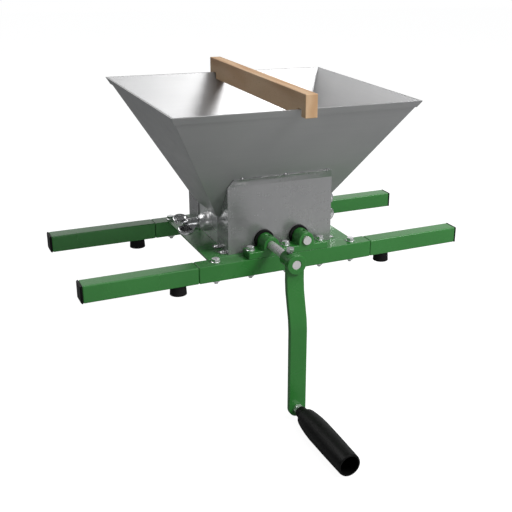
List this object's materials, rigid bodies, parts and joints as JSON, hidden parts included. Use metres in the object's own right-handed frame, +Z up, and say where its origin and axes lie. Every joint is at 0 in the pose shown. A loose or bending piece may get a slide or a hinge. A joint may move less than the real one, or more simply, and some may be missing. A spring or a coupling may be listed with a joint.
{
  "type": "apple scratter",
  "caption": "Hand-cranked apple scratter: a flared stainless hopper over two toothed rollers, on a green tube frame whose long legs lie across a tub.",
  "frame": {"origin": "middle of the plane that the four rubber feet stand on", "axes": "+Z up, +X along the rails with the crank's shaft on the -X side, +Y away from the crank, so the crank's front faces -Y"},
  "size_m": [0.6, 0.5411, 0.4623],
  "materials": {
    "green_coat": "glossy powder coat",
    "stainless": "satin rolled sheet",
    "zinc": "bright zinc plate",
    "cast_alloy": "turned",
    "bronze": "sintered",
    "black_plastic": "matte",
    "black_rubber": "matte",
    "beech": "planed, unvarnished"
  },
  "bodies": {
    "mill": {"center_tube_front": "green_coat", "center_tube_rear": "green_coat", "base_plate": "green_coat", "leg_front_left": "green_coat", "leg_front_right": "green_coat", "leg_rear_left": "green_coat", "leg_rear_right": "green_coat", "block_front_left": "green_coat", "block_front_right": "green_coat", "block_rear_left": "green_coat", "block_rear_right": "green_coat", "front_panel": "stainless", "rear_panel": "stainless", "side_cover_left": "stainless", "side_cover_right": "stainless", "hopper_front": "stainless", "hopper_rear": "stainless", "hopper_left": "stainless", "hopper_right": "stainless", "guide_plate_left": "stainless", "guide_plate_right": "stainless", "rivets": "stainless", "foot_screws": "zinc", "leg_bolts": "zinc", "leg_nuts": "zinc", "block_bolts": "zinc", "block_nuts": "zinc", "stud_washers": "zinc", "bushes": "bronze", "cap_front_left": "black_plastic", "cap_front_right": "black_plastic", "cap_rear_left": "black_plastic", "cap_rear_right": "black_plastic", "foot_front_left": "black_rubber", "foot_front_right": "black_rubber", "foot_rear_left": "black_rubber", "foot_rear_right": "black_rubber", "seal_rings": "black_rubber"},
    "crank": {"drive_shaft": "zinc", "drive_roller": "cast_alloy", "drive_knives": "stainless", "drive_gear": "zinc", "drive_gear_screw": "zinc", "crank_hub": "green_coat", "crank_arm": "green_coat", "hub_screw": "zinc", "grip_bolt": "zinc", "grip_nuts": "zinc"},
    "idler": {"idler_shaft": "zinc", "idler_roller": "cast_alloy", "idler_knives": "stainless", "idler_gear": "zinc", "idler_gear_screw": "zinc"},
    "grip": {"grip": "black_plastic"},
    "bar": {"wood_bar": "beech"},
    "wing_left": {"wing_nut_left": "stainless"},
    "wing_right": {"wing_nut_right": "stainless"}
  },
  "joints": [
    {"name": "crank_turn", "type": "hinge", "parent": "mill", "child": "crank", "pos_m": [-0.028, 0, 0.056], "axis": [0, 1, 0], "continuous": true},
    {"name": "idler_turn", "type": "hinge", "parent": "mill", "child": "idler", "pos_m": [0.028, 0, 0.056], "axis": [0, 1, 0], "continuous": true},
    {"name": "grip_spin", "type": "hinge", "parent": "crank", "child": "grip", "pos_m": [-0.028, -0.22, -0.162], "axis": [0, 1, 0], "continuous": true},
    {"name": "bar_lift", "type": "slide", "parent": "mill", "child": "bar", "axis": [0, 0, 1], "range_m": [0, 0.08]},
    {"name": "wing_left_turn", "type": "hinge", "parent": "mill", "child": "wing_left", "pos_m": [-0.1, 0, 0.064], "axis": [1, 0, 0], "continuous": true},
    {"name": "wing_right_turn", "type": "hinge", "parent": "mill", "child": "wing_right", "pos_m": [0.1, 0, 0.064], "axis": [1, 0, 0], "continuous": true}
  ],
  "couplings": [
    {"joint": "idler_turn", "follows": "crank_turn", "ratio": -1}
  ]
}
